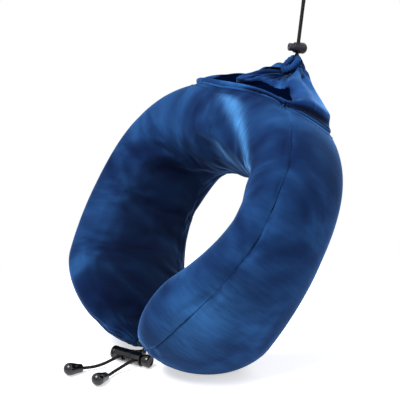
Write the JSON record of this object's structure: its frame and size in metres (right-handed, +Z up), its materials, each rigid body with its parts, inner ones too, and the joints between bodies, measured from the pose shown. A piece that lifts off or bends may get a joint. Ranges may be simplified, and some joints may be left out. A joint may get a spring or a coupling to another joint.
{
  "type": "neck pillow",
  "caption": "U-shaped foam travel neck pillow in a velour cover, with a gathered bag on its nape closed by a cord and spring lock, and a corded lock with bells at the arm ends.",
  "frame": {"origin": "inside of the top bend of the bag's cord loop, where a hook or a finger holds the pillow", "axes": "+Z up while the pillow leans on its arm ends, +X across the pillow, +Y from the wearer's front towards the nape"},
  "size_m": [0.261, 0.2774, 0.3513],
  "materials": {
    "foam_body": "soft matt memory foam",
    "cover_neck_panel": "velour pile",
    "cover_outer_panel": "velour pile",
    "bag_body": "velour pile",
    "bag_hem": "velour pile",
    "bag_cord": "braided polyester cord",
    "bag_lock_barrel": "satin acetal",
    "bag_lock_plunger": "satin acetal",
    "bag_lock_spring": "drawn spring wire",
    "front_cord_left": "braided polyester cord",
    "front_cord_right": "braided polyester cord",
    "front_bell_left": "glossy moulded plastic",
    "front_bell_right": "glossy moulded plastic",
    "front_knot_left": "braided polyester cord",
    "front_knot_right": "braided polyester cord",
    "front_lock_barrel": "glossy moulded plastic",
    "front_lock_plunger": "glossy moulded plastic",
    "front_lock_spring": "drawn spring wire",
    "zip_tape_front": "woven polyester tape",
    "zip_tape_back": "woven polyester tape",
    "zip_chain": "nylon coil",
    "zip_slider": "painted die casting",
    "zip_pull": "painted die casting"
  },
  "bodies": {
    "pillow": {"foam_body": "foam_body", "cover_neck_panel": "cover_neck_panel", "cover_outer_panel": "cover_outer_panel", "bag_body": "bag_body", "bag_hem": "bag_hem", "bag_cord": "bag_cord", "front_cord_left": "front_cord_left", "front_cord_right": "front_cord_right", "front_bell_left": "front_bell_left", "front_bell_right": "front_bell_right", "front_knot_left": "front_knot_left", "front_knot_right": "front_knot_right", "zip_tape_front": "zip_tape_front", "zip_tape_back": "zip_tape_back", "zip_chain": "zip_chain"},
    "bag_lock": {"bag_lock_barrel": "bag_lock_barrel", "bag_lock_spring": "bag_lock_spring"},
    "bag_button": {"bag_lock_plunger": "bag_lock_plunger"},
    "front_lock": {"front_lock_barrel": "front_lock_barrel", "front_lock_spring": "front_lock_spring"},
    "front_button": {"front_lock_plunger": "front_lock_plunger"},
    "zip_runner": {"zip_slider": "zip_slider"},
    "zip_tab": {"zip_pull": "zip_pull"}
  },
  "joints": [
    {"name": "bag_lock_slide", "type": "slide", "parent": "pillow", "child": "bag_lock", "axis": [0, 0.165, 0.9863], "range_m": [0, 0.02]},
    {"name": "bag_lock_press", "type": "slide", "parent": "bag_lock", "child": "bag_button", "axis": [0.3953, 0.9059, -0.1516], "range_m": [0, 0.0025], "stiffness_N_per_m": 400, "springref_m": -0.003, "deforming": ["bag_lock_spring"]},
    {"name": "front_lock_slide", "type": "slide", "parent": "pillow", "child": "front_lock", "axis": [0.3007, -0.9537, 0], "range_m": [0, 0.008]},
    {"name": "front_lock_press", "type": "slide", "parent": "front_lock", "child": "front_button", "axis": [-0.9537, -0.3007, 0], "range_m": [0, 0.0025], "stiffness_N_per_m": 400, "springref_m": -0.003, "deforming": ["front_lock_spring"]},
    {"name": "zip_slide", "type": "slide", "parent": "pillow", "child": "zip_runner", "axis": [1, 0, 0], "range_m": [0, 0.087]},
    {"name": "zip_pull_hinge", "type": "hinge", "parent": "zip_runner", "child": "zip_tab", "pos_m": [-0.0435, -0.03216, -0.17908], "axis": [0, -0.5736, -0.8191], "range_deg": [-70, 70]}
  ]
}
